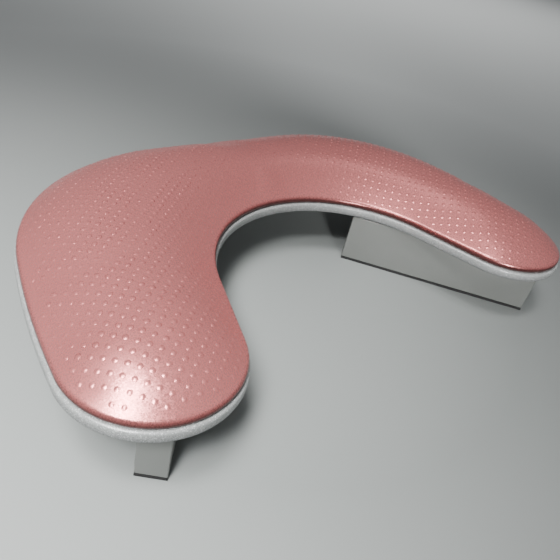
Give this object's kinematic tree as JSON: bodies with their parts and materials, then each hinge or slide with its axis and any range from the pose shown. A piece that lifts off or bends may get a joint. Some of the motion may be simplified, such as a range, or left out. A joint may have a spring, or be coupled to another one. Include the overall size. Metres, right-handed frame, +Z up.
{
  "type": "hand rest",
  "caption": "Boomerang-shaped hand rest with a crowned leatherette cushion on a white board, carried by slab legs with rubber strips underneath.",
  "frame": {"origin": "middle of the footprint box at table height", "axes": "+X from the left arm to the right arm, +Y towards the closed back of the boomerang, +Z up"},
  "size_m": [0.5278, 0.3226, 0.096],
  "materials": {
    "cover": "metallic rose leatherette, satin pearl sheen, fine grain and small raised dots",
    "foam": "open-cell upholstery foam",
    "plywood": "raw plywood",
    "board": "white lacquer with a fine sparkle on fibreboard",
    "leg": "white satin lacquer on fibreboard",
    "rubber": "black cellular rubber",
    "steel": "zinc-plated steel"
  },
  "bodies": {
    "root": {"cushion_cover": "cover", "foam_core": "foam", "cushion_panel": "plywood", "base_board": "board", "left_leg": "leg", "right_leg": "leg", "left_foot_strip": "rubber", "right_foot_strip": "rubber", "right_leg_screw_1": "steel", "right_leg_screw_2": "steel", "right_leg_screw_3": "steel", "left_leg_screw_1": "steel", "left_leg_screw_2": "steel", "left_leg_screw_3": "steel", "panel_screw_1": "steel", "panel_screw_2": "steel", "panel_screw_3": "steel", "panel_screw_4": "steel", "panel_screw_5": "steel"}
  },
  "joints": []
}
